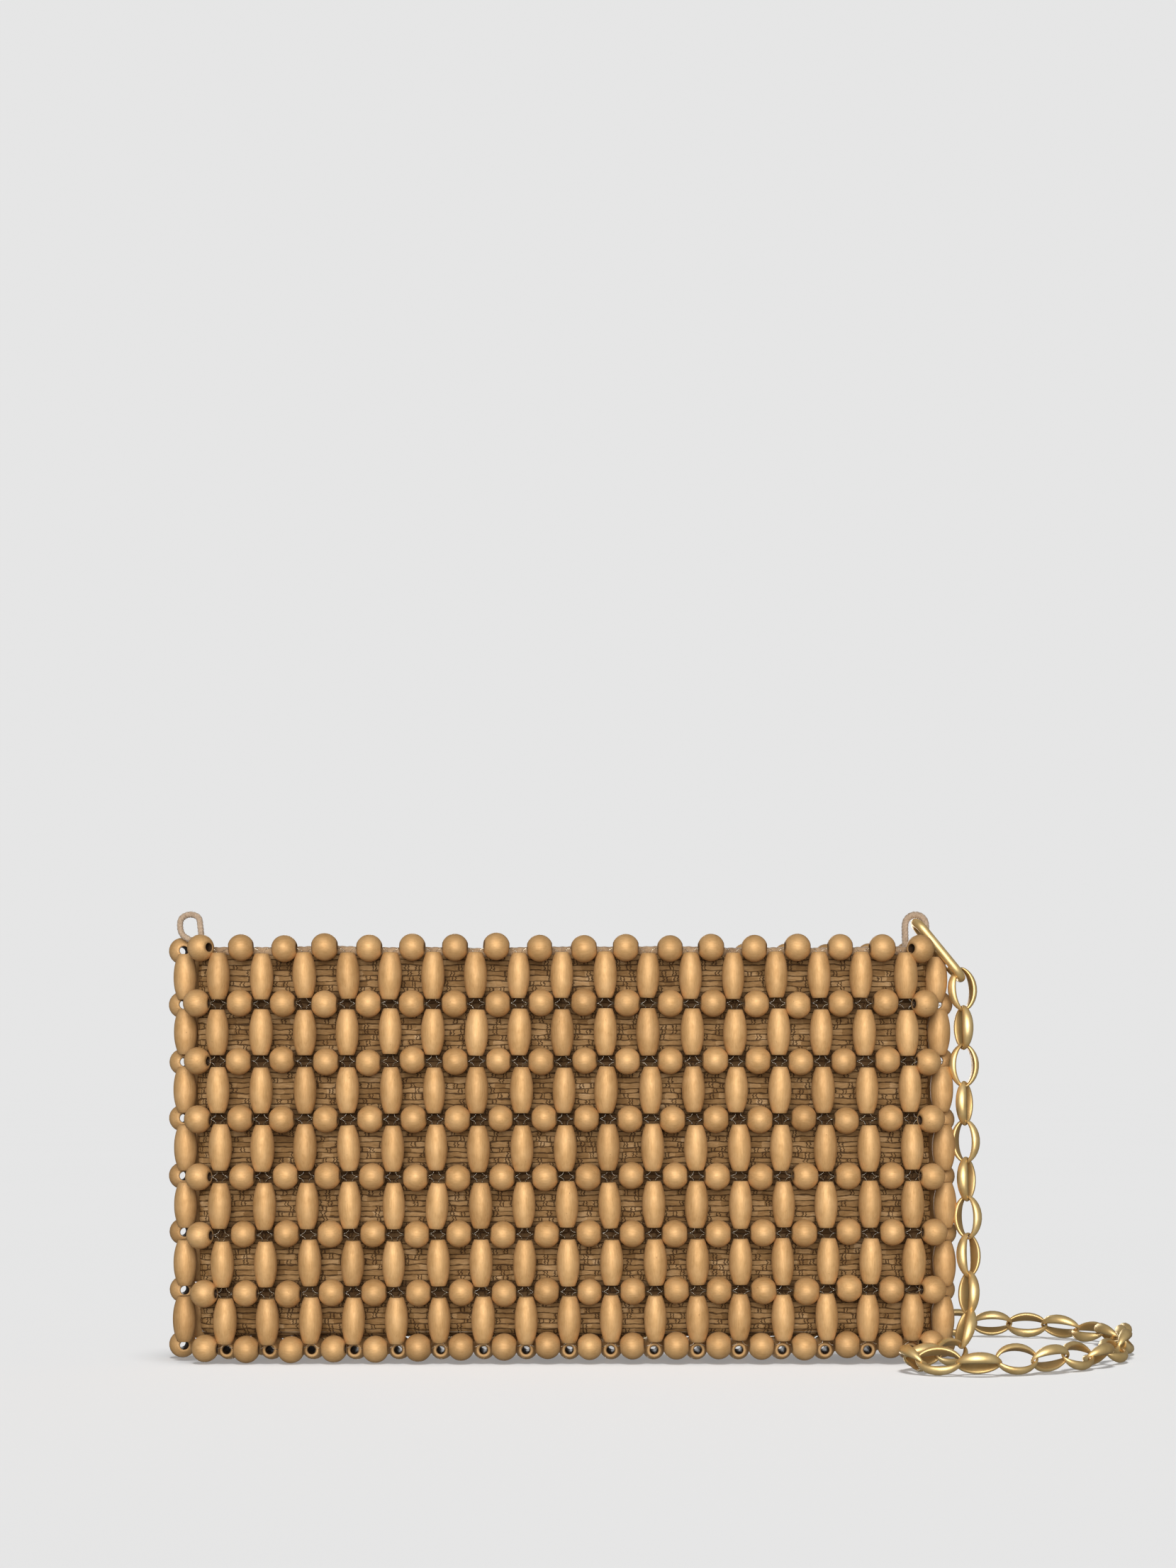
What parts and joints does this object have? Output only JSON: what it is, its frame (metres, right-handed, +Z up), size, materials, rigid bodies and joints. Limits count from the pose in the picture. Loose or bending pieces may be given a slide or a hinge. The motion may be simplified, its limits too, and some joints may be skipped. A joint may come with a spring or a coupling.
{
  "type": "evening bag",
  "caption": "Flat rectangular evening bag: a net of wooden beads over a woven pouch, with a chain strap on spring clasps.",
  "frame": {"origin": "bottom centre of the bag itself, on the surface that it stands on, without its chain strap", "axes": "+X along the bag's length towards the clasped end, front faces -Y, +Z up"},
  "size_m": [0.3511, 0.1274, 0.1601],
  "materials": {
    "bead_wood": "satin gold paint on turned wood",
    "raffia": "flat straw woven with thin dark thread",
    "hem_cord": "rolled and corded cotton",
    "loop_cord": "fuzzy cotton cord",
    "lining": "plain woven lining",
    "snap_metal": "satin antique brass",
    "brass_wire": "polished antique brass",
    "chain_metal": "antique brass plating"
  },
  "bodies": {
    "bag": {"front_round_beads_1": "bead_wood", "front_round_beads_2": "bead_wood", "front_round_beads_3": "bead_wood", "front_round_beads_4": "bead_wood", "front_round_beads_5": "bead_wood", "front_round_beads_6": "bead_wood", "front_round_beads_7": "bead_wood", "front_round_beads_8": "bead_wood", "front_barrel_beads_1": "bead_wood", "front_barrel_beads_2": "bead_wood", "front_barrel_beads_3": "bead_wood", "front_barrel_beads_4": "bead_wood", "front_barrel_beads_5": "bead_wood", "front_barrel_beads_6": "bead_wood", "front_barrel_beads_7": "bead_wood", "back_round_beads_1": "bead_wood", "back_round_beads_2": "bead_wood", "back_round_beads_3": "bead_wood", "back_round_beads_4": "bead_wood", "back_round_beads_5": "bead_wood", "back_round_beads_6": "bead_wood", "back_round_beads_7": "bead_wood", "back_round_beads_8": "bead_wood", "back_barrel_beads_1": "bead_wood", "back_barrel_beads_2": "bead_wood", "back_barrel_beads_3": "bead_wood", "back_barrel_beads_4": "bead_wood", "back_barrel_beads_5": "bead_wood", "back_barrel_beads_6": "bead_wood", "back_barrel_beads_7": "bead_wood", "left_side_barrel_beads": "bead_wood", "right_side_barrel_beads": "bead_wood", "base_barrel_beads": "bead_wood", "pouch_front": "raffia", "pouch_back": "raffia", "pouch_base": "raffia", "pouch_left": "raffia", "pouch_right": "raffia", "hem_front": "hem_cord", "hem_back": "hem_cord", "lining_front": "lining", "lining_back": "lining", "snap_stud": "snap_metal", "snap_socket": "snap_metal", "right_loop": "loop_cord", "right_clasp_body": "brass_wire", "right_clasp_pin": "brass_wire", "left_clasp_body": "brass_wire", "left_clasp_pin": "brass_wire", "strap_chain": "chain_metal"},
    "right_gate": {"right_clasp_gate": "brass_wire"},
    "left_gate": {"left_clasp_gate": "brass_wire"},
    "left_loop_cord": {"left_loop": "loop_cord"}
  },
  "joints": [
    {"name": "right_gate_hinge", "type": "hinge", "parent": "bag", "child": "right_gate", "pos_m": [0.13757, 0.0044, 0.14233], "axis": [-0.7738, 0, -0.6334], "range_deg": [-24, 0], "stiffness_Nm_per_rad": 0.02},
    {"name": "left_gate_hinge", "type": "hinge", "parent": "bag", "child": "left_gate", "pos_m": [-0.086, 0.0336, 0.0018], "axis": [0, 0, 1], "range_deg": [-24, 0], "stiffness_Nm_per_rad": 0.02},
    {"name": "left_loop_bend", "type": "hinge", "parent": "bag", "child": "left_loop_cord", "pos_m": [-0.13, 0, 0.1488], "axis": [0, 1, 0], "range_deg": [-20, 20], "stiffness_Nm_per_rad": 0.002}
  ]
}
